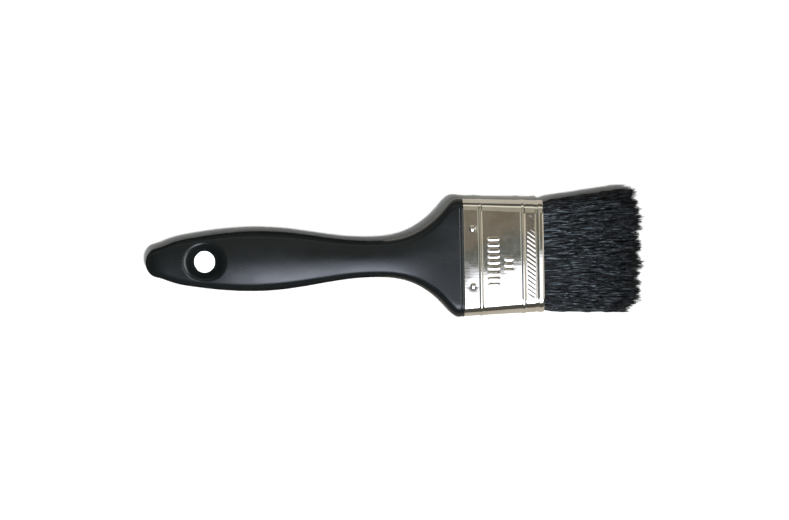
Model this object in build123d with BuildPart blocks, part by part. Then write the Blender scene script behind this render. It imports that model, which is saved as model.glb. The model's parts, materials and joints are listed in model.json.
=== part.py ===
"""Flat 2 inch paint brush: moulded handle, nailed steel ferrule, set bristles and a free tuft.

Millimetres. +X runs from the handle's tail to the bristle tips, +Y across the width, +Z up.
The brush lies on its broad side, and the origin is under the middle of its bounding box.
"""

import math
import os

from build123d import *

os.makedirs("parts", exist_ok=True)

# ---------------------------------------------------------------- driving dimensions

# lengths along the brush
handle_length = 140.5  # tail to shoulder face
ferrule_length = 35.2
tuft_length = 42.9  # free bristle, from the ferrule's mouth

# ferrule: it gets narrower and thicker towards the mouth
nominal_width = 50.8  # 2 inches, across the ferrule beside its size scale
nominal_place = 13.4  # distance of that scale from the shoulder face
width_loss = 2.9
ferrule_thickness = 12.6  # at the handle end
thickness_gain = 2.2
ferrule_corner_share = 0.95  # corner radius as a share of half the thickness: almost round sides
ferrule_wall = 0.4
bead_distances = [8.0, 26.8]  # from the shoulder face
bead_radius = 0.8
bead_height = 0.5
lip_radius = 0.6
lip_height = 0.3

# handle
shoulder_step = 0.25  # the shoulder stands this much proud of the ferrule all round
shoulder_land = 2.4  # straight band beside the ferrule
belly_thickness = 15.5
side_bulge = 0.4  # of the side walls, at the belly
corner_share = 0.9  # corner radius as a share of half the side wall's height
tail_radius = 6.8  # of the rounded end, in plan
tail_thickness = 10.4
tail_crown = 0.16  # crown of the end's faces, as a share of half its thickness
tail_flat = 0.1  # the end is cut off this far inside its apex
tongue_length = 11.0  # plugs into the ferrule
tongue_clearance = 0.1

# hanging hole, dished on both faces
hole_from_shoulder = 114.4
hole_radius = 4.8
hole_wall = 4.8  # straight wall between the two dishes
dish_flare = 1.0  # the dish widens this much for each millimetre of height

# ferrule nails, two in each broad face
nail_from_shoulder = 4.0
nail_spacing = 25.2
nail_head_radius = 1.7
nail_head_height = 0.4
nail_shank_radius = 0.8
nail_length = 5.0
nail_clearance = 0.02

# bristle set inside the ferrule
set_clearance = 0.05
resin_length = 3.0
plug_thickness = 2.2
plug_width = 45.0
middle_thickness = 3.0  # of the bristle layer between the two plugs
root_gap = 0.9  # from the set bristles to the tuft's round root

# free tuft: its root is round about the flex axis, which crosses the middle of the mouth
flex_angle = 15.0  # each way
mouth_clearance = 0.3  # left between tuft and ferrule at full flex
tuft_side_clearance = 0.5
tuft_corner = 6.0
tuft_straight = 2.5  # length of the tuft with its root's section
tuft_belly = (25.0, 52.6, 14.4)  # distance past the mouth, width, thickness
tuft_end = (tuft_length, 54.8, 13.0)

# ---------------------------------------------------------------- places along the brush

overall_length = handle_length + ferrule_length + tuft_length
x_shoulder = handle_length - overall_length / 2
x_mouth = x_shoulder + ferrule_length
axis_height = belly_thickness / 2  # the brush rests on its belly and on its beads


def cross_plane(distance):
    """Plane across the brush, past the shoulder face by a distance. Its x is +Y and its y is +Z."""
    return Plane(origin=(x_shoulder + distance, 0, axis_height), x_dir=(0, 1, 0), z_dir=(1, 0, 0))


def ferrule_size(distance, inset=0.0):
    """Width, thickness and corner radius of the ferrule, or of a surface inset from it."""
    width = nominal_width - width_loss * (distance - nominal_place) / ferrule_length
    thickness = ferrule_thickness + thickness_gain * distance / ferrule_length
    corner = ferrule_corner_share * thickness / 2
    return width - 2 * inset, thickness - 2 * inset, corner - inset


def ferrule_section(distance, inset=0.0):
    """Rounded rectangle across the ferrule."""
    with BuildSketch(cross_plane(distance)) as section:
        RectangleRounded(*ferrule_size(distance, inset))
    return section.sketch


# ---------------------------------------------------------------- nails, where they enter

face_slope = math.atan(thickness_gain / 2 / ferrule_length)
nail_face_height = ferrule_size(nail_from_shoulder)[1] / 2


def nail_plane(side, face):
    """Plane on the ferrule where a nail enters; side and face are +1 or -1, and z points out."""
    return Plane(
        origin=(
            x_shoulder + nail_from_shoulder,
            side * nail_spacing / 2,
            axis_height + face * nail_face_height,
        ),
        x_dir=(0, 1, 0),
        z_dir=(-math.sin(face_slope), 0, face * math.cos(face_slope)),
    )


nail_planes = {
    "nail_top_left": nail_plane(1, 1),
    "nail_top_right": nail_plane(-1, 1),
    "nail_bottom_left": nail_plane(1, -1),
    "nail_bottom_right": nail_plane(-1, -1),
}

# ---------------------------------------------------------------- handle


def handle_section(from_shoulder, width, thickness, crown):
    """Barrel section: crowned faces, slightly bulged sides and round corners."""
    half_width = width / 2
    half_thickness = thickness / 2
    corner_y = half_width - side_bulge * thickness / belly_thickness
    corner_z = half_thickness - crown
    with BuildSketch(cross_plane(-from_shoulder)) as section:
        with BuildLine():
            ThreePointArc((-corner_y, corner_z), (0, half_thickness), (corner_y, corner_z))
            ThreePointArc((corner_y, corner_z), (half_width, 0), (corner_y, -corner_z))
            ThreePointArc((corner_y, -corner_z), (0, -half_thickness), (-corner_y, -corner_z))
            ThreePointArc((-corner_y, -corner_z), (-half_width, 0), (-corner_y, corner_z))
        make_face()
        fillet(section.vertices(), radius=corner_share * corner_z)
    return section.sketch


def tail_section(from_apex):
    """Section through the rounded end, which is an arc in plan and in side view."""
    half_width = math.sqrt(2 * tail_radius * from_apex - from_apex**2)
    half_thickness = tail_thickness / 2 * half_width / tail_radius
    from_shoulder = handle_length + tail_flat - from_apex
    return handle_section(
        from_shoulder, 2 * half_width, 2 * half_thickness, tail_crown * half_thickness
    )


shoulder_width = ferrule_size(0)[0] + 2 * shoulder_step
shoulder_thickness = ferrule_thickness + 2 * shoulder_step

# distance before the shoulder face, width, thickness, crown of each face
handle_stations = [
    (0.0, shoulder_width, shoulder_thickness, 0.1),
    (shoulder_land, shoulder_width, shoulder_thickness, 0.1),
    (6.0, 48.6, 13.1, 0.15),
    (9.5, 40.8, 13.0, 0.3),
    (14.0, 32.2, 12.7, 0.6),
    (19.5, 24.6, 12.3, 0.9),
    (27.0, 18.6, 11.9, 1.1),
    (38.0, 16.0, 11.6, 1.3),
    (50.0, 17.0, 12.0, 1.4),
    (64.0, 20.9, 13.4, 1.7),
    (78.0, 24.9, 15.0, 2.0),
    (92.0, 26.4, belly_thickness, 2.2),
    (106.0, 25.0, 14.6, 2.1),
    (118.0, 22.0, 13.0, 1.9),
    (128.0, 18.0, 11.5, 1.4),
]
tail_stations = [6.4, 3.6, 1.6, 0.5, tail_flat]  # distance from the apex

with BuildPart() as handle:
    loft(
        [handle_section(*station) for station in handle_stations]
        + [tail_section(from_apex) for from_apex in tail_stations]
    )
    tongue_inset = ferrule_wall + tongue_clearance
    loft([ferrule_section(0, tongue_inset), ferrule_section(tongue_length, tongue_inset)])

    # hanging hole and its two dishes
    with Locations((x_shoulder - hole_from_shoulder, 0, axis_height)):
        Cylinder(hole_radius, belly_thickness, mode=Mode.SUBTRACT)
    dish_depth = (belly_thickness - hole_wall) / 2
    for turn in (0, 180):
        with Locations(
            Location((x_shoulder - hole_from_shoulder, 0, axis_height), (turn, 0, 0))
            * Location((0, 0, hole_wall / 2))
        ):
            Cone(
                hole_radius,
                hole_radius + dish_flare * dish_depth,
                dish_depth,
                align=(Align.CENTER, Align.CENTER, Align.MIN),
                mode=Mode.SUBTRACT,
            )

    # nail holes in the tongue
    with Locations(*nail_planes.values()):
        Cylinder(nail_shank_radius + nail_clearance, 2 * nail_length, mode=Mode.SUBTRACT)
handle.part.label = "handle"
export_step(handle.part, "parts/handle.step")

# ---------------------------------------------------------------- ferrule


def add_rim(distance, radius, height):
    """Round bead swept round the ferrule, standing proud of it by a height."""
    rim = ferrule_section(distance, radius - height).face().outer_wire()
    with BuildSketch(Plane(origin=rim @ 0, z_dir=rim % 0)) as bead:
        Circle(radius)
    return sweep(bead.sketch, path=rim)


with BuildPart() as ferrule:
    loft([ferrule_section(0), ferrule_section(ferrule_length)])
    for distance in bead_distances:
        add(add_rim(distance, bead_radius, bead_height))
    add(add_rim(ferrule_length - lip_radius, lip_radius, lip_height))
    loft(
        [ferrule_section(-1, ferrule_wall), ferrule_section(ferrule_length + 1, ferrule_wall)],
        mode=Mode.SUBTRACT,
    )
    with Locations(*nail_planes.values()):
        Cylinder(nail_shank_radius + nail_clearance, 2 * ferrule_wall + 1, mode=Mode.SUBTRACT)
ferrule.part.label = "ferrule"
export_step(ferrule.part, "parts/ferrule.step")

# ---------------------------------------------------------------- nails

for nail_name, plane in nail_planes.items():
    with BuildPart(plane) as nail:
        Cylinder(
            nail_head_radius,
            nail_head_height,
            align=(Align.CENTER, Align.CENTER, Align.MIN),
        )
        fillet(nail.edges().sort_by(Axis.Z)[-1 if "top" in nail_name else 0], radius=0.3)
        Cylinder(
            nail_shank_radius,
            nail_length,
            align=(Align.CENTER, Align.CENTER, Align.MAX),
        )
    nail.part.label = nail_name
    export_step(nail.part, f"parts/{nail_name}.step")

# ---------------------------------------------------------------- bristle set in the ferrule

inner_inset = ferrule_wall + set_clearance
tuft_root_thickness = 2 * math.cos(math.radians(flex_angle)) * (
    ferrule_size(ferrule_length, ferrule_wall)[1] / 2 - mouth_clearance
)
resin_end = tongue_length + resin_length
set_end = ferrule_length - tuft_root_thickness / 2 - root_gap

with BuildPart() as resin_block:
    loft([ferrule_section(tongue_length, inner_inset), ferrule_section(resin_end, inner_inset)])
resin_block.part.label = "resin_block"
export_step(resin_block.part, "parts/resin_block.step")

plug_height = (middle_thickness + plug_thickness) / 2  # of a plug's middle above the axis
set_middle = x_shoulder + (resin_end + set_end) / 2
set_length = set_end - resin_end

for plug_name, face in (("spacer_plug_top", 1), ("spacer_plug_bottom", -1)):
    with BuildPart() as spacer_plug:
        with Locations((set_middle, 0, axis_height + face * plug_height)):
            Box(set_length, plug_width, plug_thickness)
        fillet(spacer_plug.edges().filter_by(Axis.Z), radius=1.0)
    spacer_plug.part.label = plug_name
    export_step(spacer_plug.part, f"parts/{plug_name}.step")

outer_layer_from = middle_thickness / 2 + plug_thickness  # height above the axis
for layer_name, low, high in (
    ("bristle_root_top", outer_layer_from, ferrule_thickness),
    ("bristle_root_middle", -middle_thickness / 2, middle_thickness / 2),
    ("bristle_root_bottom", -ferrule_thickness, -outer_layer_from),
):
    with BuildPart() as bristle_root:
        loft([ferrule_section(resin_end, inner_inset), ferrule_section(set_end, inner_inset)])
        with Locations((set_middle, 0, axis_height + (low + high) / 2)):
            Box(set_length, nominal_width, high - low, mode=Mode.INTERSECT)
    bristle_root.part.label = layer_name
    export_step(bristle_root.part, f"parts/{layer_name}.step")

# ---------------------------------------------------------------- free tuft

tuft_root_width = ferrule_size(ferrule_length, ferrule_wall)[0] - 2 * tuft_side_clearance


def tuft_section(past_mouth, width, thickness):
    """Rounded rectangle across the tuft."""
    with BuildSketch(cross_plane(ferrule_length + past_mouth)) as section:
        RectangleRounded(width, thickness, tuft_corner)
    return section.sketch


with BuildPart() as bristle_tuft:
    loft(
        [
            tuft_section(0, tuft_root_width, tuft_root_thickness),
            tuft_section(tuft_straight, tuft_root_width, tuft_root_thickness),
            tuft_section(*tuft_belly),
            tuft_section(*tuft_end),
        ]
    )
    fillet(bristle_tuft.faces().sort_by(Axis.X)[-1].edges(), radius=1.0)
    with BuildSketch(cross_plane(ferrule_length)) as root_half:
        RectangleRounded(tuft_root_width, tuft_root_thickness, tuft_corner)
        Rectangle(
            tuft_root_width,
            tuft_root_thickness,
            align=(Align.CENTER, Align.MAX),
            mode=Mode.SUBTRACT,
        )
    revolve(axis=Axis((x_mouth, 0, axis_height), (0, 1, 0)))
bristle_tuft.part.label = "bristle_tuft"
export_step(bristle_tuft.part, "parts/bristle_tuft.step")
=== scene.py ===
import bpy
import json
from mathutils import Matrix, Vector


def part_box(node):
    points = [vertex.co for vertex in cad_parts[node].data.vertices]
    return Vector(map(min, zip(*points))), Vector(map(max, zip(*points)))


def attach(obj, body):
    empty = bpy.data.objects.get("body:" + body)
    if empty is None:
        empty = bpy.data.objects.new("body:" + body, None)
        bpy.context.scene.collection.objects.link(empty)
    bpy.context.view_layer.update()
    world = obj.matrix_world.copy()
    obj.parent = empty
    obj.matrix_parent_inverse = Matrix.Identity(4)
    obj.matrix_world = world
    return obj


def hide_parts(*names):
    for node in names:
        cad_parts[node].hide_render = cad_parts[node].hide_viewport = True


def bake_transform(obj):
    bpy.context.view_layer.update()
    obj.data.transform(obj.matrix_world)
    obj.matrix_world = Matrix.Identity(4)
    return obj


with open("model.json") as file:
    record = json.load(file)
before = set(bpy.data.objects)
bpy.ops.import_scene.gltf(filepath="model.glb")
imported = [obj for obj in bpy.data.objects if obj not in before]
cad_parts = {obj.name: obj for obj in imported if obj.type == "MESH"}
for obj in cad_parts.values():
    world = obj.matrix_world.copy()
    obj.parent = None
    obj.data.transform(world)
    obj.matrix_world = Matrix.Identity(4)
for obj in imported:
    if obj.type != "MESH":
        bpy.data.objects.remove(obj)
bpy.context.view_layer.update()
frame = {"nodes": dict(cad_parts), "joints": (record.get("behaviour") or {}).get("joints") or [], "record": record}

# Flat 2 inch paint brush: the looks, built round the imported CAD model.
#
# Places are millimetres in the CAD frame, +X from the tail to the tips, +Y across, +Z up.
# Meshes are turned into metres when they are made. Materials, lamps and the camera are in metres.

import json
import math

import bmesh
import bpy
import numpy as np
from mathutils import Vector

MM = 0.001

# ---------------------------------------------------------------- places that the frame gives

handle_low = np.array(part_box("handle")[0]) / MM
ferrule_low = np.array(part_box("ferrule")[0]) / MM
tuft_high = np.array(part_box("bristle_tuft")[1]) / MM
flex_joint = frame["joints"][0]
hang_hole = frame["record"]["mounts"][0]

x_shoulder = ferrule_low[0]
x_mouth = flex_joint["pos_m"][0] / MM
axis_z = flex_joint["pos_m"][2] / MM
hole_x = hang_hole["pos_m"][0] / MM
hole_radius = hang_hole["dims"]["r_mm"]
hole_wall = hang_hole["dims"]["length_mm"]
handle_length = x_shoulder - handle_low[0]
ferrule_length = x_mouth - x_shoulder
tuft_length = tuft_high[0] - x_mouth

# ---------------------------------------------------------------- meshes


def add_piece(name, points, faces, material):
    """Smooth object made from points in millimetres and a list of arrays of faces, one row per face."""
    mesh = bpy.data.meshes.new(name)
    loops = np.concatenate([rows.ravel() for rows in faces])
    totals = np.concatenate([np.full(len(rows), rows.shape[1]) for rows in faces])
    starts = np.concatenate([[0], np.cumsum(totals)[:-1]])
    mesh.vertices.add(len(points))
    mesh.vertices.foreach_set("co", (np.asarray(points) * MM).astype(np.float32).ravel())
    mesh.loops.add(len(loops))
    mesh.loops.foreach_set("vertex_index", loops.astype(np.int32))
    mesh.polygons.add(len(totals))
    mesh.polygons.foreach_set("loop_start", starts.astype(np.int32))
    mesh.polygons.foreach_set("use_smooth", np.ones(len(totals), bool))
    mesh.update(calc_edges=True)
    mesh.validate()
    mesh.materials.append(material)
    piece = bpy.data.objects.new(name, mesh)
    bpy.context.scene.collection.objects.link(piece)
    return piece


def grid_faces(index, wrap_rows=False, wrap_columns=False):
    """Quads between the neighbours of a 2-D array of vertex numbers."""
    if wrap_rows:
        index = np.vstack([index, index[:1]])
    if wrap_columns:
        index = np.hstack([index, index[:, :1]])
    corners = (index[:-1, :-1], index[1:, :-1], index[1:, 1:], index[:-1, 1:])
    return np.stack([corner.ravel() for corner in corners], axis=1)


def weld(piece):
    """Joins the vertices that lie together and turns every face outwards."""
    distance = 0.0005 * MM
    shape = bmesh.new()
    shape.from_mesh(piece.data)
    bmesh.ops.remove_doubles(shape, verts=shape.verts, dist=distance)
    bmesh.ops.dissolve_degenerate(shape, edges=shape.edges, dist=distance / 10)
    bmesh.ops.recalc_face_normals(shape, faces=shape.faces)
    shape.to_mesh(piece.data)
    shape.free()


def smoothstep(low, high, value):
    """Share from 0 to 1 that runs smoothly from low to high, either of which may be the larger."""
    share = np.clip((value - low) / (high - low), 0, 1)
    return share * share * (3 - 2 * share)


def bump(centre, half_width, value):
    """Smooth bump, 1 at the centre and 0 past half its width on each side."""
    return smoothstep(half_width, 0, np.abs(value - centre))


def curve_through(knots, values):
    """Cubic spline through points, free at its start and level at its end."""
    knots = np.array(knots, float)
    values = np.array(values, float)
    count = len(knots)
    step = np.diff(knots)
    rise = np.diff(values) / step
    system = np.eye(count)
    known = np.zeros(count)
    for i in range(1, count - 1):
        system[i, i - 1 : i + 2] = step[i - 1], 2 * (step[i - 1] + step[i]), step[i]
        known[i] = 6 * (rise[i] - rise[i - 1])
    system[-1, -2:] = step[-1], 2 * step[-1]
    known[-1] = -6 * rise[-1]
    bend = np.linalg.solve(system, known)

    def curve(at):
        at = np.clip(at, knots[0], knots[-1])
        i = np.clip(np.searchsorted(knots, at) - 1, 0, count - 2)
        before = (knots[i + 1] - at) / step[i]
        after = 1 - before
        line = before * values[i] + after * values[i + 1]
        curl = (before**3 - before) * bend[i] + (after**3 - after) * bend[i + 1]
        return line + curl * step[i] ** 2 / 6

    return curve


# ---------------------------------------------------------------- barrel section


class Barrel:
    """Rounded section across the brush: crowned faces, bulged sides and round corners.

    Sizes are numbers or arrays of one shape. Angles are measured from +Z towards +Y, over one quarter.
    """

    def __init__(self, half_width, half_thickness, crown, side_bulge, corner_share):
        side = half_width - side_bulge
        top = half_thickness - crown
        self.corner_radius = corner_share * top
        self.top_radius = (side**2 + crown**2) / (2 * crown)
        self.side_radius = (top**2 + side_bulge**2) / (2 * side_bulge)
        self.top_z = half_thickness - self.top_radius
        self.side_y = half_width - self.side_radius
        # the corner's centre lies where it touches both arcs
        from_top = self.top_radius - self.corner_radius
        from_side = self.side_radius - self.corner_radius
        apart = np.hypot(self.side_y, self.top_z)
        along = (from_top**2 - from_side**2 + apart**2) / (2 * apart)
        off = np.sqrt(np.maximum(from_top**2 - along**2, 0))
        self.corner_y = (along * self.side_y - off * self.top_z) / apart
        self.corner_z = self.top_z + (-along * self.top_z - off * self.side_y) / apart
        self.top_end = np.arctan2(self.corner_y, self.corner_z - self.top_z)
        self.side_start = np.arctan2(self.corner_y - self.side_y, self.corner_z)

    def quarter(self, top_shares, corner_shares, side_shares):
        """Angles, y and z of points over the quarter, by shares of each of its three arcs."""
        corner = (self.corner_radius, self.corner_y, self.corner_z)
        arcs = (
            (top_shares, 0, self.top_end, self.top_radius, 0, self.top_z),
            (corner_shares, self.top_end, self.side_start, *corner),
            (side_shares, self.side_start, math.pi / 2, self.side_radius, self.side_y, 0),
        )
        parts = []
        for shares, start, end, radius, centre_y, centre_z in arcs:
            for share in shares:
                angle = start + (end - start) * share
                y = centre_y + radius * np.sin(angle)
                z = centre_z + radius * np.cos(angle)
                parts.append((angle, y, z))
        angles, ys, zs = zip(*parts)
        return np.stack(angles, -1), np.stack(ys, -1), np.stack(zs, -1)

    def height(self, y):
        """Height of the upper surface at a distance across."""
        y = np.abs(y)
        on_top = y <= self.corner_y + self.corner_radius * np.sin(self.top_end)
        crown = self.top_z + np.sqrt(np.maximum(self.top_radius**2 - y**2, 0))
        across = self.corner_radius**2 - (y - self.corner_y) ** 2
        corner = self.corner_z + np.sqrt(np.maximum(across, 0))
        return np.where(on_top, crown, corner)


# ---------------------------------------------------------------- materials


def node_material(name, base_color, roughness, metallic=0.0):
    """Material with its node tree and Principled shader, as (material, nodes, links, shader)."""
    material = bpy.data.materials.new(name)
    material.use_nodes = True
    nodes = material.node_tree.nodes
    shader = nodes["Principled BSDF"]
    shader.inputs["Base Color"].default_value = (*base_color, 1)
    shader.inputs["Roughness"].default_value = roughness
    shader.inputs["Metallic"].default_value = metallic
    return material, nodes, material.node_tree.links, shader


def add_noise(nodes, links, scale, detail, stretch=(1, 1, 1), place=(0, 0, 0)):
    """Noise in the frame's own metres. scale is the number of spots in a metre."""
    coordinates = nodes.new("ShaderNodeTexCoord")
    mapping = nodes.new("ShaderNodeMapping")
    mapping.inputs["Scale"].default_value = stretch
    mapping.inputs["Location"].default_value = place
    noise = nodes.new("ShaderNodeTexNoise")
    noise.inputs["Scale"].default_value = scale
    noise.inputs["Detail"].default_value = detail
    links.new(coordinates.outputs["Object"], mapping.inputs["Vector"])
    links.new(mapping.outputs["Vector"], noise.inputs["Vector"])
    return noise.outputs["Fac"]


def add_ramp(nodes, links, value, stops):
    """Colours along a value, as (place, colour) stops."""
    ramp = nodes.new("ShaderNodeValToRGB")
    for i, (place, color) in enumerate(stops):
        stop = ramp.color_ramp.elements[i] if i < 2 else ramp.color_ramp.elements.new(place)
        stop.position = place
        stop.color = (*color, 1)
    links.new(value, ramp.inputs["Fac"])
    return ramp.outputs["Color"]


def add_range(nodes, links, value, low, high, source=(0.3, 0.7)):
    """Spreads a value's source range over the range from low to high."""
    spread = nodes.new("ShaderNodeMapRange")
    spread.inputs["From Min"].default_value = source[0]
    spread.inputs["From Max"].default_value = source[1]
    spread.inputs["To Min"].default_value = low
    spread.inputs["To Max"].default_value = high
    links.new(value, spread.inputs["Value"])
    return spread.outputs["Result"]


def add_product(nodes, links, first, second):
    """One colour multiplied by another."""
    product = nodes.new("ShaderNodeMix")
    product.data_type = "RGBA"
    product.blend_type = "MULTIPLY"
    product.inputs["Factor"].default_value = 1.0
    links.new(first, product.inputs["A"])
    links.new(second, product.inputs["B"])
    return product.outputs["Result"]


def add_bump(nodes, links, shader, height, distance, under=None):
    """Bump of a height in metres, over another bump if one is given."""
    relief = nodes.new("ShaderNodeBump")
    relief.inputs["Distance"].default_value = distance
    links.new(height, relief.inputs["Height"])
    if under is not None:
        links.new(under, relief.inputs["Normal"])
    links.new(relief.outputs["Normal"], shader.inputs["Normal"])
    return relief.outputs["Normal"]


def plastic_material():
    """Black moulded plastic with a glossy, slightly grained skin, dulled here and there by handling."""
    material, nodes, links, shader = node_material("moulded_black_plastic", (0.005, 0.006, 0.007), 0.25)
    shader.inputs["IOR"].default_value = 1.38
    clouds = add_noise(nodes, links, 60, 4)
    stops = [(0.3, (0.0042, 0.0058, 0.0062)), (0.7, (0.0062, 0.0078, 0.0086))]
    tint = add_ramp(nodes, links, clouds, stops)
    links.new(tint, shader.inputs["Base Color"])
    handling = add_noise(nodes, links, 180, 5, stretch=(0.4, 1, 1))
    links.new(add_range(nodes, links, handling, 0.2, 0.3), shader.inputs["Roughness"])
    grain = add_noise(nodes, links, 2600, 2)
    add_bump(nodes, links, shader, grain, 0.00001)
    return material


def nickel_material():
    """Bright nickel plating with rolling streaks, scratches, a mottled gloss and a few stains."""
    material, nodes, links, shader = node_material("nickel_plate", (0.74, 0.69, 0.62), 0.2, 1.0)
    stains = add_noise(nodes, links, 110, 6, place=(0.3, 0.1, 0))
    stops = [(0.3, (0.66, 0.61, 0.53)), (0.5, (0.73, 0.69, 0.62)), (0.72, (0.77, 0.74, 0.68))]
    tint = add_ramp(nodes, links, stains, stops)
    links.new(tint, shader.inputs["Base Color"])
    mottle = add_noise(nodes, links, 420, 5)
    links.new(add_range(nodes, links, mottle, 0.055, 0.1), shader.inputs["Roughness"])
    streaks = add_noise(nodes, links, 900, 3, stretch=(1, 0.06, 1))
    rolled = add_bump(nodes, links, shader, streaks, 0.000004)
    scratches = add_noise(nodes, links, 700, 2, stretch=(0.08, 1.6, 1), place=(0, 0.2, 0))
    add_bump(nodes, links, shader, scratches, 0.000005, under=rolled)
    return material


def bristle_material():
    """Black filaments in short streaks, with lighter painted highlight streaks and darker painted shade in the
    gaps between them. Darker towards the tips, with painted shade along both edges.
    """
    material, nodes, links, shader = node_material("black_bristle", (0.02, 0.023, 0.027), 0.38)
    shader.inputs["IOR"].default_value = 1.5
    shader.inputs["Specular IOR Level"].default_value = 0.34
    strands = add_noise(nodes, links, 2000, 2, stretch=(0.07, 1, 1))
    # streaks: the filaments' own near-black tone, plus bright painted highlight streaks and dark painted shade in
    # the gaps between clumps
    painted_gap_shade, filament, painted_glint_highlight = (0.0004, 0.0005, 0.0006), (0.014, 0.018, 0.022), (0.155, 0.195, 0.225)
    color = add_ramp(nodes, links, strands, [(0.42, painted_gap_shade), (0.56, filament), (0.66, painted_glint_highlight)])
    coordinates = nodes.new("ShaderNodeTexCoord")
    split = nodes.new("ShaderNodeSeparateXYZ")
    links.new(coordinates.outputs["Object"], split.inputs["Vector"])
    along = (x_mouth * MM, tuft_high[0] * MM)
    across = (-0.027, 0.027)
    # darker towards the tips along X; across Y, painted shade along both edges, where the tuft curves away from
    # the light
    for axis, source, shades in (
        ("X", along, ((0.0, 1.0), (0.6, 0.85), (0.9, 0.3))),
        ("Y", across, ((0.0, 0.5), (0.07, 1.0), (0.86, 1.0), (0.96, 0.2))),
    ):
        share = add_range(nodes, links, split.outputs[axis], 0, 1, source=source)
        shade = add_ramp(nodes, links, share, [(place, (value,) * 3) for place, value in shades])
        color = add_product(nodes, links, color, shade)
    links.new(color, shader.inputs["Base Color"])
    gloss = add_noise(nodes, links, 900, 2, stretch=(0.2, 1, 1))
    links.new(add_range(nodes, links, gloss, 0.22, 0.42), shader.inputs["Roughness"])
    return material


def resin_material():
    """Amber resin that has set round the butt ends."""
    material, nodes, links, shader = node_material("setting_resin", (0.45, 0.3, 0.14), 0.3)
    clouds = add_noise(nodes, links, 250, 4)
    tint = add_ramp(nodes, links, clouds, [(0.3, (0.3, 0.18, 0.07)), (0.7, (0.55, 0.37, 0.18))])
    links.new(tint, shader.inputs["Base Color"])
    return material


def wood_material():
    """Plain softwood with its grain across the brush."""
    material, nodes, links, shader = node_material("plug_softwood", (0.55, 0.4, 0.24), 0.7)
    grain = add_noise(nodes, links, 900, 4, stretch=(1, 0.05, 1))
    tint = add_ramp(nodes, links, grain, [(0.35, (0.42, 0.28, 0.15)), (0.65, (0.62, 0.46, 0.28))])
    links.new(tint, shader.inputs["Base Color"])
    add_bump(nodes, links, shader, grain, 0.0001)
    return material


plastic = plastic_material()
nickel = nickel_material()
bristle = bristle_material()

# ---------------------------------------------------------------- handle

# distance before the shoulder face, width, thickness and crown of the handle's sections, as in CAD
handle_stations = [
    (2.4, 52.4, 13.1, 0.1),
    (6.0, 48.6, 13.1, 0.15),
    (9.5, 40.8, 13.0, 0.3),
    (14.0, 32.2, 12.7, 0.6),
    (19.5, 24.6, 12.3, 0.9),
    (27.0, 18.6, 11.9, 1.1),
    (38.0, 16.0, 11.6, 1.3),
    (50.0, 17.0, 12.0, 1.4),
    (64.0, 20.9, 13.4, 1.7),
    (78.0, 24.9, 15.0, 2.0),
    (92.0, 26.4, 15.5, 2.2),
    (106.0, 25.0, 14.6, 2.1),
    (118.0, 22.0, 13.0, 1.9),
    (128.0, 18.0, 11.5, 1.4),
]
tail_radius = 6.8
tail_flatness = 10.4 / (2 * tail_radius)  # thickness over width of the rounded end
tail_crown = 0.16
handle_corner_share = 0.9
handle_side_bulge = 0.4 / 15.5  # of the thickness
shoulder_edge = 0.5  # radius of the shoulder's rounded edge
shoulder_step = 0.25  # how far the shoulder stands out past the ferrule
ferrule_wall = 0.4
tongue_length = 11.0
tongue_gap = 0.15  # between the tongue's root and the ferrule's inside
tongue_taper = 0.4
parting_height = 0.07
parting_width = 0.22
rim_blend = 1.5  # rounds the edge between the dish and the handle's face
wall_edge = 1.5  # rounds the edge between the dish and the hole
dish_slope = 1.06
crease_place = 1.25  # of a shallow crease, before the shoulder face
crease_half_width = 0.45
crease_depth = 0.12


def handle_laws():
    """Half width, half thickness and crown, as curves over the root of the distance from the apex.

    Over that root, a round end is a smooth curve that starts at 0.
    """
    rows = [(0.0, 0.0, 0.0, 0.0)]
    for from_apex in (0.5, 1.6, 3.6, 6.4):
        half_width = math.sqrt(2 * tail_radius * from_apex - from_apex**2)
        half_thickness = tail_flatness * half_width
        rows.append((math.sqrt(from_apex), half_width, half_thickness, tail_crown * half_thickness))
    for distance, width, thickness, crown in reversed(handle_stations):
        rows.append((math.sqrt(handle_length - distance), width / 2, thickness / 2, crown))
    roots, *sizes = zip(*rows)
    return [curve_through(roots, size) for size in sizes]


half_width_law, half_thickness_law, crown_law = handle_laws()


def handle_barrel(x):
    """The handle's section at a place along it."""
    root = np.sqrt(np.maximum(x - handle_low[0], 1e-9))
    half_thickness = half_thickness_law(root)
    return Barrel(
        half_width_law(root),
        half_thickness,
        crown_law(root),
        2 * half_thickness * handle_side_bulge,
        handle_corner_share,
    )


def handle_places():
    """Places of the handle's sections: close at the round end and the crease, even between."""
    even_step = 0.75
    nose = np.arange(0.08, 2.8, 0.08) ** 2
    land = x_shoulder - shoulder_edge
    start = handle_low[0] + nose[-1]
    end = land - 1.8
    even = np.linspace(start, end, round((end - start) / even_step))
    past_crease = np.linspace(end, land, 16)[1:]
    return np.concatenate([handle_low[0] + nose[:-1], even, past_crease])


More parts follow.
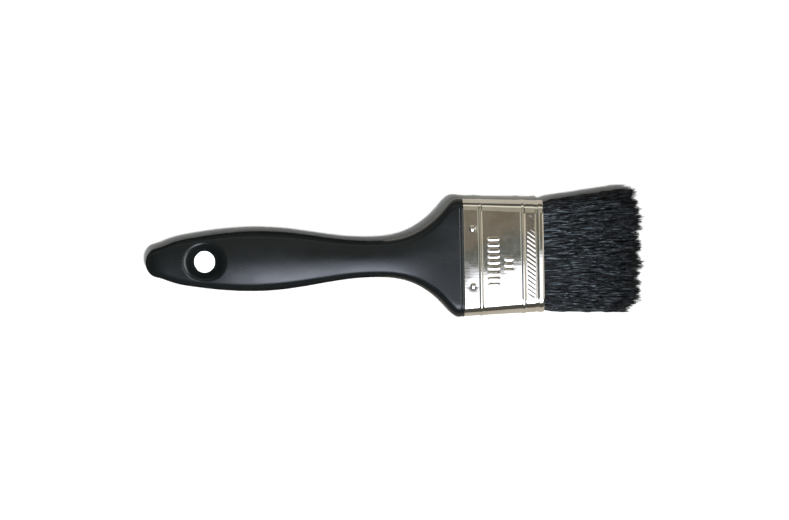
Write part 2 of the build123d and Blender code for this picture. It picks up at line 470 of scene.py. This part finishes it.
def handle_half(side_shares, corner_shares, top_shares):
    """Points of the handle's upper half, as a grid of sections by places round each one."""
    x = handle_places()
    # the shoulder's edge turns in over a quarter circle, then the face runs in to the tongue
    turn = np.linspace(0, math.pi / 2, 7)
    edge_x = x_shoulder - shoulder_edge * (1 - np.sin(turn[1:]))
    edge_inset = shoulder_edge * (1 - np.cos(turn[1:]))
    neck = shoulder_step + ferrule_wall + tongue_gap
    inner_x = [x_shoulder, x_shoulder, x_shoulder + 0.1, x_shoulder + tongue_length]
    inner_inset = [shoulder_edge + 0.1, neck - 0.1, neck, neck + tongue_taper]
    along = np.concatenate([x, edge_x, inner_x])
    crease = crease_depth * bump(x_shoulder - crease_place, crease_half_width, x)
    inset = np.concatenate([crease, edge_inset, inner_inset])
    barrel = handle_barrel(np.minimum(along, x_shoulder - shoulder_edge))
    angle, y, z = barrel.quarter(top_shares, corner_shares, side_shares)
    # the parting line fades out at the tail and stops before the crease
    ridge = parting_height * np.exp(-((z / parting_width) ** 2)) * (along < x_shoulder - 2)[:, None]
    ridge *= smoothstep(handle_low[0], handle_low[0] + 6, along)[:, None]
    y = y + (ridge - inset[:, None]) * np.sin(angle)
    z = z - inset[:, None] * np.cos(angle)
    x_grid = np.repeat(along[:, None], y.shape[1], axis=1)
    one_side = np.stack([x_grid, y, z], axis=-1)
    other_side = one_side[:, :0:-1] * [1, -1, 1]
    return np.concatenate([other_side, one_side], axis=1)


def dish_height(x, y):
    """Height of the handle's face round the hole, where it runs smoothly down into the dish."""
    face = handle_barrel(x).height(y)
    cone = hole_wall / 2 + dish_slope * (np.hypot(x - hole_x, y) - hole_radius)
    mix = np.clip(0.5 + 0.5 * (cone - face) / rim_blend, 0, 1)
    return cone + (face - cone) * mix - rim_blend * mix * (1 - mix)


def hole_patch(loop):
    """Rings from the hole's middle plane, up its wall and its dish, out to a loop of points."""
    away = np.hypot(loop[:, 0] - hole_x, loop[:, 1])
    unit_x = (loop[:, 0] - hole_x) / away
    unit_y = loop[:, 1] / away
    # the wall meets the cone of the dish over an arc, which touches both
    lean = math.pi / 2 - math.atan(dish_slope)
    reach = wall_edge * math.tan(lean / 2)
    turn = np.linspace(0, lean, 7)
    wall = [(hole_radius, height) for height in np.linspace(0, hole_wall / 2 - reach, 5)[:-1]]
    arc_radius = hole_radius + wall_edge * (1 - np.cos(turn))
    arc_height = hole_wall / 2 - reach + wall_edge * np.sin(turn)
    arc = list(zip(arc_radius, arc_height))
    rings = []
    for radius, height in wall + arc:
        ones = np.ones(len(loop))
        rings.append(np.stack([hole_x + radius * unit_x, radius * unit_y, height * ones], axis=1))
    start = arc[-1][0]
    for share in np.linspace(0, 1, 30)[1:-1]:
        radius = start + (away - start) * share
        x = hole_x + radius * unit_x
        y = radius * unit_y
        rings.append(np.stack([x, y, dish_height(x, y)], axis=1))
    rings.append(loop)
    return np.stack(rings)


def make_handle():
    """One closed skin: the tapering handle, its tongue and the dished hole, mirrored top to bottom."""
    top_shares = np.linspace(0, 1, 15)[:-1]
    corner_shares = np.linspace(0, 1, 15)[:-1]
    side_shares = [0, 0.25, 0.45, 0.6, 0.72, 0.82, 0.91, 1]
    half = handle_half(side_shares, corner_shares, top_shares)
    sections, around = half.shape[:2]
    # a block of the grid round the hole gives way to rings that fit both it and the hole
    block_reach = 12.0
    first = int(np.searchsorted(half[:, 0, 0], hole_x - block_reach))
    last = int(np.searchsorted(half[:, 0, 0], hole_x + block_reach))
    low = len(side_shares) + len(corner_shares) // 2
    high = around - 1 - low
    ends = half[first, low:high], half[last, high:low:-1]
    sides = half[first:last, high], half[last:first:-1, low]
    loop = np.concatenate([ends[0], sides[0], ends[1], sides[1]])
    rings = hole_patch(loop)
    index = np.arange(sections * around).reshape(sections, around)
    faces = grid_faces(index).reshape(sections - 1, around - 1, 4)
    keep = np.ones((sections - 1, around - 1), bool)
    keep[first:last, low:high] = False
    half_points = half.reshape(-1, 3)
    ring_index = len(half_points) + np.arange(rings.shape[0] * len(loop)).reshape(-1, len(loop))
    nose = len(half_points) + rings.shape[0] * len(loop)
    upper = np.concatenate([half_points, rings.reshape(-1, 3), [[handle_low[0], 0, 0]]])
    fan = np.stack([np.full(around - 1, nose), index[0, :-1], index[0, 1:]], axis=1)
    quads = np.concatenate([faces[keep], grid_faces(ring_index, wrap_columns=True)])
    lower = upper * [1, 1, -1]
    count = len(upper)
    # the tongue's end is closed by quads between its upper and its lower edge
    end = index[-1]
    cap = np.stack([end[:-1], end[1:], end[1:] + count, end[:-1] + count], axis=1)
    points = np.concatenate([upper, lower]) + [0, 0, axis_z]
    handle = add_piece(
        "moulded_handle", points, [quads, quads + count, cap, fan, fan + count], plastic
    )
    weld(handle)
    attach(handle, "brush")
    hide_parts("handle")
    return handle


# ---------------------------------------------------------------- ferrule

nominal_width = 50.8
nominal_place = 13.4  # where the ferrule has that width
width_loss = 2.9
thickness_gain = 2.2
ferrule_start_thickness = 12.6
ferrule_crown = 0.45
ferrule_side_bulge = 0.06
ferrule_corner_share = 0.95
nail_distance = 4.0
nail_spacing = 25.2
nail_head_radius = 1.5
nail_head_height = 0.34
nail_dent_depth = 0.05
nail_dent_radius = 2.0
beads = ((7.6, 0.13, 1.2), (26.3, 0.16, 1.25))  # place, height, half width
side_bead_gain = 1.2  # the beads stand that much further out round the sides
rope_middle = 29.65
rope_pitch = 2.0
rope_slant = 0.75  # how far a strand moves across for each millimetre along
rope_half_length = 17.6
rope_sink = 0.03  # depth of the trough that the strands lie in
groove_place = 31.95
groove_half_width = 0.55
groove_depth = 0.1
seam_place = 9.0
seam_half_width = 0.45
seam_depth = 0.16
mark_width = 1.3
mark_height = 0.075
mark_rows = (  # distance, length and places across of the bars in each row
    (13.2, 4.6, np.linspace(8.0, -12.4, 9)),
    (19.8, 3.2, np.linspace(-1.0, -6.1, 3)),
)
twist = 0.0095  # slope across the sheet at its two ends, in opposite ways
twist_reach = 17.0  # from the twist's middle to each end
wave_height = 0.012
ripple_height = 0.006
side_reach = 4.0  # height up to which the waves of the upper and the lower face are mixed


def ferrule_barrel(distance):
    """The ferrule's outer section at a distance past the shoulder."""
    return Barrel(
        (nominal_width - width_loss * (distance - nominal_place) / ferrule_length) / 2,
        (ferrule_start_thickness + thickness_gain * distance / ferrule_length) / 2,
        ferrule_crown,
        ferrule_side_bulge,
        ferrule_corner_share,
    )


def bar(distance, across, centre, length, width):
    """Raised bar along the brush with round ends, from 0 round it to 1 on its top."""
    past_end = np.maximum(np.abs(distance - centre[0]) - (length - width) / 2, 0)
    away = np.hypot(past_end, across - centre[1]) - width / 2
    return smoothstep(0.3, -0.12, away)


def size_marks(distance, across):
    """Embossed plain marks: a long row and a short row of even bars along the width."""
    relief = np.zeros_like(distance)
    for middle, length, places in mark_rows:
        for place in places:
            relief = np.maximum(relief, bar(distance, across, (middle, place), length, mark_width))
    return relief


def ferrule_relief(distance, across, face):
    """How far the sheet stands out from its plain section. face runs from +1 on top to -1 below."""
    relief = np.zeros_like(distance)
    proud = 1 + side_bead_gain * smoothstep(20, 23.5, np.abs(across))
    for place, height, half_width in beads:
        relief += height * proud * bump(place, half_width, distance)
    # the rope band: slanting strands in a shallow trough, flatter towards the +Y side
    within = smoothstep(rope_half_length + 1.2, rope_half_length - 0.6, np.abs(across))
    trough = smoothstep(1.9, 1.5, np.abs(distance - rope_middle))
    phase = (across + rope_slant * (distance - rope_middle)) / rope_pitch
    strand = 0.009 + 0.012 * smoothstep(14, 7, across) - 0.002 * smoothstep(0, -9, across)
    relief += within * trough * (strand * np.cos(2 * math.pi * phase) - rope_sink)
    relief -= groove_depth * bump(groove_place, groove_half_width, distance)
    # dents that the nails pull into the sheet
    for side in (-1, 1):
        away = np.hypot(distance - nail_distance, across - side * nail_spacing / 2)
        relief -= nail_dent_depth * np.exp(-((away / nail_dent_radius) ** 2))
    # the sheet is slightly twisted and wavy
    relief += face * twist * across * (distance - twist_reach) / twist_reach
    relief += wave_height * np.sin(across / 3.9 + 0.7 * face) * np.sin(distance / 5.2 + 1.1)
    relief += ripple_height * np.sin(across / 2.3 + distance / 3.1 + face)
    # marks on the upper face and a lock seam on the lower one
    top = np.where(face > 0, 1.0, 0.0)
    relief += top * mark_height * size_marks(distance, across)
    seam = bump(seam_place, seam_half_width, across) * smoothstep(33, 32, distance)
    relief -= (1 - top) * seam_depth * seam
    return relief


def ferrule_rows():
    """Profile along the ferrule, as (distance, height over the section), from edge to edge."""
    spans = [
        (0.06, 2.0, 5),
        (2.0, 6.4, 16),
        (6.4, 9.0, 16),
        (9.0, 10.6, 4),
        (10.6, 23.2, 44),
        (23.2, 25.4, 5),
        (25.4, 28.0, 16),
        (28.0, 32.6, 27),
    ]
    rows = [(0.0, 0.1 - ferrule_wall), (0.0, -0.08)]
    for start, end, count in spans:
        rows += [(place, 0.0) for place in np.linspace(start, end, count + 1)[:-1]]
    # the lip is rolled outwards and back in
    lip_middle = ferrule_length - 1.3
    rows += [
        (lip_middle - 1.25 * math.cos(turn), 0.2 * math.sin(turn))
        for turn in np.linspace(0, math.pi - 0.4, 13)
    ]
    rows += [(ferrule_length, -0.05), (ferrule_length - 0.03, -0.28)]
    inner = (ferrule_length - 0.15, 33.5, 30.0, 24.0, 16.0, 8.0, 1.0, 0.0)
    rows += [(place, -ferrule_wall) for place in inner]
    return np.array(rows)


def make_ferrule():
    """Thin tube with its outer and inner skin, open at both ends."""
    rows = ferrule_rows()
    distance, height = rows[:, 0], rows[:, 1]
    barrel = ferrule_barrel(distance)
    top_shares = np.linspace(0, 1, 105)[:-1]
    corner_shares = np.linspace(0, 1, 19)[:-1]
    angle, y, z = barrel.quarter(top_shares, corner_shares, [0, 0.5, 1])
    # four quarters, from the middle of the top round by +Y
    around_angle = np.hstack([angle, angle[:, -2::-1], -angle[:, 1:], -angle[:, -2:0:-1]])
    around_y = np.hstack([y, y[:, -2::-1], -y[:, 1:], -y[:, -2:0:-1]])
    around_z = np.hstack([z, -z[:, -2::-1], -z[:, 1:], z[:, -2:0:-1]])
    normal_y = np.sin(around_angle)
    normal_z = np.sign(around_z) * np.abs(np.cos(around_angle))
    # the waves of the two faces run into each other round the sides
    face = np.clip(around_z / side_reach, -1, 1)
    along = np.repeat(distance[:, None], around_y.shape[1], axis=1)
    outside = (height > -0.2)[:, None]
    relief = ferrule_relief(along, around_y, face) * outside
    out = height[:, None] + relief
    points = np.stack(
        [x_shoulder + along, around_y + out * normal_y, axis_z + around_z + out * normal_z], axis=-1
    )
    index = np.arange(points.shape[0] * points.shape[1]).reshape(points.shape[:2])
    faces = grid_faces(index, wrap_rows=True, wrap_columns=True)
    ferrule = add_piece("nickel_ferrule", points.reshape(-1, 3), [faces], nickel)
    weld(ferrule)
    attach(ferrule, "brush")
    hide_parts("ferrule")


# ---------------------------------------------------------------- nails


def make_nail(name, side, face):
    """Domed nail, turned about its own axis, which stands square on the sloping face."""
    head_edge = 0.1
    shank_radius = 0.8
    sink = 0.12  # how deep the head sits in its dent
    segments = 40
    profile = [
        (nail_head_radius * share, head_edge + nail_head_height * (1 - share**3.2))
        for share in (0.2, 0.4, 0.55, 0.7, 0.8, 0.88, 0.94, 0.98, 1.0)
    ]
    profile += [(nail_head_radius * 0.97, -0.1), (nail_head_radius * 0.85, -0.2)]
    profile += [(shank_radius, -0.25), (shank_radius, -3.8), (shank_radius * 0.4, -4.8)]
    profile = np.array(profile)
    turns = np.arange(segments) * 2 * math.pi / segments
    ring_x = profile[:, :1] * np.cos(turns)
    ring_y = profile[:, :1] * np.sin(turns)
    ring_z = np.repeat(profile[:, 1:], segments, axis=1)
    slope = math.atan(thickness_gain / 2 / ferrule_length)
    local = np.stack([ring_x, ring_y, ring_z - sink], axis=-1).reshape(-1, 3)
    ends = np.array([[0, 0, profile[0, 1] - sink], [0, 0, profile[-1, 1] - sink - 0.2]])
    local = np.concatenate([local, ends])
    height = ferrule_barrel(nail_distance).height(nail_spacing / 2)
    x = local[:, 0] * math.cos(slope) - local[:, 2] * math.sin(slope)
    z = local[:, 0] * math.sin(slope) + local[:, 2] * math.cos(slope)
    y = side * nail_spacing / 2 + local[:, 1]
    points = np.stack([x_shoulder + nail_distance + x, y, axis_z + face * (height + z)], axis=1)
    index = np.arange(len(profile) * segments).reshape(len(profile), segments)
    quads = grid_faces(index, wrap_columns=True)
    top = len(points) - 2
    ring_next = np.roll(index, -1, axis=1)
    caps = [
        np.stack([np.full(segments, top), ring_next[0], index[0]], axis=1),
        np.stack([np.full(segments, top + 1), index[-1], ring_next[-1]], axis=1),
    ]
    nail = add_piece(f"domed_{name}", points, [quads, *caps], nickel)
    weld(nail)
    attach(nail, "brush")
    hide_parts(name)


# ---------------------------------------------------------------- bristles

seed = 20
root_half_width = 23.7
root_half_thickness = 6.45
root_corner = 5.9
set_start = 14.3  # distances past the shoulder face
set_end = 27.6
middle_layer_half = 1.35  # half of its depth in the set end
outer_layer_low = 3.9  # from the middle to where the outer layers start
outer_layer_depth = 2.0
shell_pitch = 0.3
core_pitch = 0.37
shell_depth = 1.3
clump_count = 800
lock_count = 75
stray_share = 0.12
stray_loss = 6.0
trim_margin = 0.4  # kept clear of the tuft's end
worn_loss = 6.0  # of length at the worn corner, on the -Y side
other_loss = 2.0  # of length at the other corner
flare_rate = 0.003  # how much wider the tuft gets for each millimetre past the mouth
flare_lean = 0.05  # towards +Y, for each millimetre
mouth_swell = 0.035  # how much wider it gets just past the mouth
belly_swell = 0.13  # how much thicker it is half way along
filament_radius = (0.105, 0.15)  # of the thinnest and the thickest, before the tip
thinning = 0.35  # share of its radius that a filament loses on the way to its tip
tip_share = 0.35  # radius of the tip itself over that of the root
shell_rings = 20
core_rings = 5


def root_places(pitch, in_shell):
    """Places of the shell's or the core's filaments across the mouth, on a jittered lattice."""
    rows = np.arange(-root_half_thickness, root_half_thickness, pitch * math.sqrt(3) / 2)
    columns = np.arange(-root_half_width, root_half_width, pitch)
    y, z = np.meshgrid(columns, rows)
    y = y + (np.arange(len(rows)) % 2)[:, None] * pitch / 2
    y = y + chance.normal(0, pitch * 0.17, y.shape)
    z = z + chance.normal(0, pitch * 0.17, y.shape)
    past_y = np.maximum(np.abs(y) - root_half_width + root_corner, 0)
    past_z = np.maximum(np.abs(z) - root_half_thickness + root_corner, 0)
    depth = root_corner - np.hypot(past_y, past_z)
    depth = np.where(past_y == 0, root_half_thickness - np.abs(z), depth)
    kept = (depth > 0) & ((depth < shell_depth) == in_shell)
    return np.stack([y[kept], z[kept]], axis=1)


def nearest_place(roots, places):
    """Number of the place nearest to each root, and its distance."""
    squares = ((roots[:, None] - places[None]) ** 2).sum(axis=2)
    return squares.argmin(axis=1), np.sqrt(squares.min(axis=1))


def layer_height(z):
    """Height in the set bristles, which run in three layers past the two spacer plugs."""
    third = root_half_thickness / 3
    middle = z * middle_layer_half / third
    outer = np.sign(z) * (outer_layer_low + (np.abs(z) - third) * outer_layer_depth / (2 * third))
    return np.where(np.abs(z) < third, middle, outer)


def spread(u):
    """How far the flare has got, which eases off near the tips."""
    ease = 34.0
    return np.where(u < ease, u, ease + (u - ease) * 0.35)


def free_length(roots, clump, lock, from_lock):
    """Lengths past the mouth: trimmed straight across, except for clumps, locks and strays."""
    count = len(roots)
    across = roots[:, 0]
    length = tuft_length - trim_margin + clump_length[clump] + chance.normal(0, 0.4, count)
    length += lock_length[lock] - from_lock
    stray = chance.random(count) < stray_share
    length -= stray * chance.random(count) * stray_loss
    # the corner on the -Y side is worn round, and the other one a little
    length -= worn_loss * smoothstep(-17.5, -24.0, across)
    return length - other_loss * smoothstep(19.5, 24, across)


def filament_lines(roots, free_rings):
    """Centre lines of the filaments, as an array of filaments by rings by xyz, and their radii."""
    count = len(roots)
    y0, z0 = roots[:, 0], roots[:, 1]
    clump, _ = nearest_place(roots, clump_places)
    lock, from_lock = nearest_place(roots, lock_places)
    share = np.linspace(0, 1, free_rings + 1)[1:]
    u = free_length(roots, clump, lock, from_lock)[:, None] * share
    # drawn to the clump's middle, more so near the tips, and then to the lock's
    pull = 0.3 + 0.4 * smoothstep(0.3, 1, share) * (0.5 + 0.5 * clump_grip[clump])[:, None]
    pull = pull * np.minimum(u / 6, 1)
    y = y0[:, None] * (1 - pull) + clump_places[clump, 0][:, None] * pull
    z = z0[:, None] * (1 - pull) + clump_places[clump, 1][:, None] * pull
    gather = 0.3 * smoothstep(0.55, 1, share)[None]
    y += (lock_places[lock, 0] - y0)[:, None] * gather
    z += (lock_places[lock, 1] - z0)[:, None] * gather
    # the whole tuft flares, swells and leans a little towards +Y
    flare = spread(u)
    y = y * (1 + flare_rate * flare + mouth_swell * smoothstep(0, 4, u)) + flare_lean * flare
    z = z * (1 + belly_swell * np.sin(math.pi * np.clip(u / 46, 0, 1)) ** 1.3)
    # waves that a clump shares, waves of each filament, and leaning tips
    loose = np.minimum(u / 9, 1)
    clump_wave = 2 * math.pi * u / clump_period[clump][:, None] + clump_phase[clump][:, None]
    own_period = chance.uniform(9, 17, count)[:, None]
    own_wave = 2 * math.pi * u / own_period + chance.uniform(0, 6.3, count)[:, None]
    own_size = chance.gamma(2.0, 0.055, count)[:, None]
    lean = np.clip(u / tuft_length, 0, 1) ** 1.6
    y += loose * (0.2 * np.sin(clump_wave) + own_size * np.sin(own_wave))
    y += lean * (clump_lean[clump, 0] + chance.normal(0, 0.35, count))[:, None]
    z += loose * (0.3 * np.sin(clump_wave * 1.17 + 1.3) + own_size * np.cos(own_wave * 1.13))
    z += lean * (clump_lean[clump, 1] + chance.normal(0, 0.2, count))[:, None]
    z = np.clip(z, 0.35 - axis_z, None)  # stays off the floor
    # four rings in the ferrule: two in the set end's layer, two on the way to the mouth
    set_rings = np.array([set_start, set_end, set_end + 3.2, ferrule_length - 0.6])
    set_x = np.repeat((x_shoulder + set_rings)[None], count, axis=0)
    set_y = np.repeat(y0[:, None], len(set_rings), axis=1)
    layer_z = layer_height(z0)
    set_z = np.stack([layer_z, layer_z, 0.4 * layer_z + 0.6 * z0, z0], axis=1)
    line_x = np.hstack([set_x, x_mouth + u])
    line_y = np.hstack([set_y, y])
    line_z = np.hstack([set_z, z]) + axis_z
    thin = np.concatenate([np.ones(len(set_rings)), 1 - thinning * share**2])
    thin[-1] = tip_share
    radius = chance.uniform(*filament_radius, count)[:, None] * thin
    return np.stack([line_x, line_y, line_z], axis=-1), radius


def tubes(lines, radius, first_point):
    """Three-sided tubes round lines that run nearly along the brush, closed at both ends."""
    count, rings = radius.shape
    turn = chance.uniform(0, 2 * math.pi, count)[:, None] + np.arange(3) * 2 * math.pi / 3
    ring_y = radius[:, :, None] * np.cos(turn)[:, None]
    ring_z = radius[:, :, None] * np.sin(turn)[:, None]
    points = np.repeat(lines[:, :, None], 3, axis=2)
    points[..., 1] += ring_y
    points[..., 2] += ring_z
    index = first_point + np.arange(count * rings * 3).reshape(count, rings, 3)
    beside = np.roll(index, -1, axis=2)
    corners = (index[:, :-1], beside[:, :-1], beside[:, 1:], index[:, 1:])
    quads = np.stack([corner.ravel() for corner in corners], axis=1)
    caps = np.concatenate([index[:, 0, ::-1], index[:, -1]])
    return points.reshape(-1, 3), quads, caps


def make_bristles():
    """Filaments of the tuft in three layers, each of which also fills its own part of the ferrule."""
    shell = filament_lines(root_places(shell_pitch, True), shell_rings)
    core = filament_lines(root_places(core_pitch, False), core_rings)
    third = root_half_thickness / 3
    mouth_ring = 3  # number of the ring that lies just inside the mouth
    for name, low, high in (
        ("top", third, math.inf),
        ("middle", -third, third),
        ("bottom", -math.inf, -third),
    ):
        points, quads, caps = [], [], []
        first_point = 0
        for lines, radius in (shell, core):
            height = lines[:, mouth_ring, 2] - axis_z
            chosen = (height >= low) & (height < high)
            some_points, some_quads, some_caps = tubes(lines[chosen], radius[chosen], first_point)
            first_point += len(some_points)
            points.append(some_points)
            quads.append(some_quads)
            caps.append(some_caps)
        piece = add_piece(f"bristles_{name}", np.concatenate(points), [*quads, *caps], bristle)
        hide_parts("bristle_tuft", f"bristle_root_{name}")
        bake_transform(piece)


def scattered_places(count):
    """Random places across the mouth."""
    y = chance.uniform(-root_half_width, root_half_width, count)
    z = chance.uniform(-root_half_thickness, root_half_thickness, count)
    return np.stack([y, z], axis=1)


# clumps of a few filaments each, which lie in larger locks
chance = np.random.default_rng(seed)
clump_places = scattered_places(clump_count)
lock_places = scattered_places(lock_count)
lock_length = chance.normal(0.2, 0.85, lock_count)
clump_length = chance.normal(0, 0.6, clump_count)
clump_grip = chance.random(clump_count)
clump_lean = chance.normal(0, 1, (clump_count, 2)) * [0.55, 0.3]
clump_period = chance.uniform(8, 16, clump_count)
clump_phase = chance.uniform(0, 2 * math.pi, clump_count)

# ---------------------------------------------------------------- studio


def add_object(name, data):
    """Object of a lamp or a camera, in the scene."""
    made = bpy.data.objects.new(name, data)
    bpy.context.scene.collection.objects.link(made)
    return made


def aim(made, towards):
    """Points an object's -Z axis along a direction."""
    direction = Vector(towards)
    made.rotation_euler = direction.to_track_quat("-Z", "Y").to_euler()


def add_softbox(name, low, high, left, right, radiance, color, side=-1):
    """Flat rectangular lamp over the brush that covers a patch of its sky.

    low and high are angles from straight up towards one side of the brush, -1 for -Y and +1 for +Y.
    left and right are angles along it, towards -X and +X.
    """
    distance = 2.0
    middle = math.radians((low + high) / 2)
    half_height = distance * math.tan(math.radians((high - low) / 2))
    to_left = distance * math.tan(math.radians(left))
    to_right = distance * math.tan(math.radians(right))
    lamp = bpy.data.lights.new(name, "AREA")
    lamp.shape = "RECTANGLE"
    lamp.size = to_left + to_right
    lamp.size_y = 2 * half_height
    lamp.energy = radiance * math.pi * lamp.size * lamp.size_y
    lamp.color = color
    made = add_object(name, lamp)
    place = Vector((0, side * math.sin(middle), math.cos(middle))) * distance
    made.location = place + Vector(((to_right - to_left) / 2, 0, 0))
    made.rotation_euler = (side * -middle, 0, 0)
    made.visible_camera = False
    return made


def plain_sheet(name, points, color, glow=0.0):
    """Flat or curved sheet of the studio, which isn't part of the object."""
    material, _, _, shader = node_material(name, (color,) * 3, 1.0)
    shader.inputs["Specular IOR Level"].default_value = 0
    shader.inputs["Emission Color"].default_value = (1, 1, 1, 1)
    shader.inputs["Emission Strength"].default_value = glow
    index = np.arange(points.shape[0] * points.shape[1]).reshape(points.shape[:2])
    sheet = add_piece(name, points.reshape(-1, 3), [grid_faces(index)], material)
    return sheet


def level_sheet(name, low, high, height, color, glow=0.0):
    """Level rectangle of the studio between two corners."""
    x, y = np.meshgrid([low[0], high[0]], [low[1], high[1]])
    return plain_sheet(name, np.stack([x, y, np.full((2, 2), height)], axis=-1), color, glow)


def make_floor():
    """Wide white floor."""
    floor = level_sheet("floor", (-4000, -4000), (4000, 4000), 0.0, 0.86)
    floor.visible_glossy = False  # reflections see the room's beige lower half in its place


def make_painted_dim_reflection():
    """Dimly glowing black sheet just over the floor, which only shows as a painted dark reflection in the sides of
    the handle's grip.
    """
    # painted dark reflection: a dim glowing sheet that only reflections see
    patch = level_sheet("painted_dim_reflection", (-220, -150), (-4, 150), 0.02, 0.0, glow=0.045)
    patch.visible_camera = False
    patch.visible_diffuse = False
    patch.visible_shadow = False


def make_backdrop():
    """Round pale wall that only the camera sees."""
    radius, height = 3500.0, 5000.0
    turn = np.linspace(0, 2 * math.pi, 97)
    ring = np.stack([radius * np.cos(turn), radius * np.sin(turn), np.zeros(len(turn))], axis=-1)
    wall = plain_sheet("backdrop", np.stack([ring, ring + [0, 0, height]]), 0.0, glow=1.0)
    wall.visible_glossy = False
    wall.visible_diffuse = False
    wall.visible_shadow = False


def make_world():
    """Dim room: beige below the horizon, dark just over it, a little lighter overhead."""
    world = bpy.data.worlds.new("room")
    world.use_nodes = True
    bpy.context.scene.world = world
    nodes, links = world.node_tree.nodes, world.node_tree.links
    coordinates = nodes.new("ShaderNodeTexCoord")
    split = nodes.new("ShaderNodeSeparateXYZ")
    links.new(coordinates.outputs["Generated"], split.inputs["Vector"])
    height = add_range(nodes, links, split.outputs["Z"], 0, 1, source=(-1, 1))
    beige, dark = (0.6, 0.57, 0.51), (0.09, 0.09, 0.08)
    stops = [(0.0, beige), (0.495, beige), (0.52, dark)]
    stops += [(0.8, (0.11, 0.113, 0.102)), (1.0, (0.132, 0.143, 0.132))]
    links.new(add_ramp(nodes, links, height, stops), nodes["Background"].inputs["Color"])


def make_key():
    """Soft sun from the +X, -Y side, which lights the brush and casts its shadow."""
    key = bpy.data.lights.new("key", "SUN")
    key.energy = 3.3
    key.angle = math.radians(5)
    made = add_object("key", key)
    aim(made, (-0.22, 0.225, -0.94))
    made.visible_glossy = False


def make_panel():
    """Soft panel on the -Y side: its light, then its image, which is brightest past its middle."""
    light = add_softbox("panel_light", 0.5, 36, 11, 20, 3.8, (0.96, 0.98, 1.0))
    light.visible_glossy = False
    edges = (1.4, 8, 16, 24, 36, 46)
    for i, radiance in enumerate((2.1, 5.0, 9.5, 12.0, 8.0)):
        image = add_softbox(f"panel_{i}", edges[i], edges[i + 1], 11, 14, radiance, (0.8, 0.85, 1.0))
        image.visible_diffuse = False


def make_reflected_lamps(handle):
    """Lamps that only show as reflections."""
    for name, place, radiance, color, side in (
        ("ceiling", (2, 18, 20, 20), 0.09, (1.0, 0.6, 0.3), 1),
        ("skylight", (-1.4, 16, 15, -2.5), 0.35, (0.9, 1.0, 0.93), 1),
        ("upper_wall", (16, 50, 20, 20), 0.3, (1.0, 0.93, 0.78), 1),
        ("window", (51, 65, 45, 30), 0.85, (1.0, 0.98, 0.88), 1),
        ("side_glow", (-9, 9, -13, 33), 0.5, (1.0, 0.92, 0.8), -1),
        ("side_lamp", (-25, 20, -38, 62), 1.6, (0.98, 0.98, 0.96), -1),
    ):
        lamp = add_softbox(name, *place, radiance, color, side=side)
        lamp.visible_diffuse = False
    # the image of this one shows in the handle alone, as a crescent in its dish
    dish_lamp = add_softbox("dish_lamp", -32, 32, -30, 60, 6.0, (0.95, 0.98, 1.0))
    dish_lamp.visible_diffuse = False
    plastic_only = bpy.data.collections.new("plastic_only")
    plastic_only.objects.link(handle)
    dish_lamp.light_linking.receiver_collection = plastic_only


def make_bounce():
    """Light that the window throws on the brush, without its image."""
    bounce = add_softbox("bounce", 51, 65, 30, 30, 1.2, (1.0, 0.99, 0.9), side=1)
    bounce.visible_glossy = False


def make_hole_spot():
    """Narrow lamp in line with the camera, which lights the floor seen through the hanging hole."""
    above = 0.3
    margin = 0.9 * MM  # of light past the hole's edge
    spot = bpy.data.lights.new("hole_spot", "SPOT")
    spot.energy = 7.0
    spot.spot_size = 2 * math.atan((hole_radius * MM + margin) / above)
    spot.spot_blend = 0.1
    spot.shadow_soft_size = 0.001
    hole_place = Vector((hole_x * MM, 0, axis_z * MM))
    towards_camera = (Vector(camera_place) - hole_place).normalized()
    made = add_object("hole_spot", spot)
    made.location = hole_place + towards_camera * above
    aim(made, -towards_camera)
    made.visible_glossy = False
    made.visible_camera = False


camera_height = 0.824  # over the middle of the brush's thickness
camera_place = (0.0008, -0.0006, camera_height + axis_z * MM)
camera_roll = -1.02  # degrees


def make_camera():
    """Looks straight down on the brush."""
    camera = bpy.data.cameras.new("camera")
    camera.lens = 85
    camera.sensor_width = 36
    camera.dof.use_dof = False
    made = add_object("camera", camera)
    made.location = camera_place
    made.rotation_euler = (0, 0, math.radians(camera_roll))
    bpy.context.scene.camera = made
    bpy.context.scene.view_settings.view_transform = "Standard"


# ---------------------------------------------------------------- assembly

handle = make_handle()
make_ferrule()
for nail_side, side_name in ((1, "left"), (-1, "right")):
    for nail_face, face_name in ((1, "top"), (-1, "bottom")):
        make_nail(f"nail_{face_name}_{side_name}", nail_side, nail_face)
make_bristles()

for node, material in (
    ("resin_block", resin_material()),
    ("spacer_plug_top", wood_material()),
    ("spacer_plug_bottom", wood_material()),
):
    mesh = frame["nodes"][node].data
    mesh.materials.clear()
    mesh.materials.append(material)

make_floor()
make_painted_dim_reflection()
make_backdrop()
make_world()
make_key()
make_panel()
make_reflected_lamps(handle)
make_bounce()
make_hole_spot()
make_camera()

bpy.context.view_layer.update()
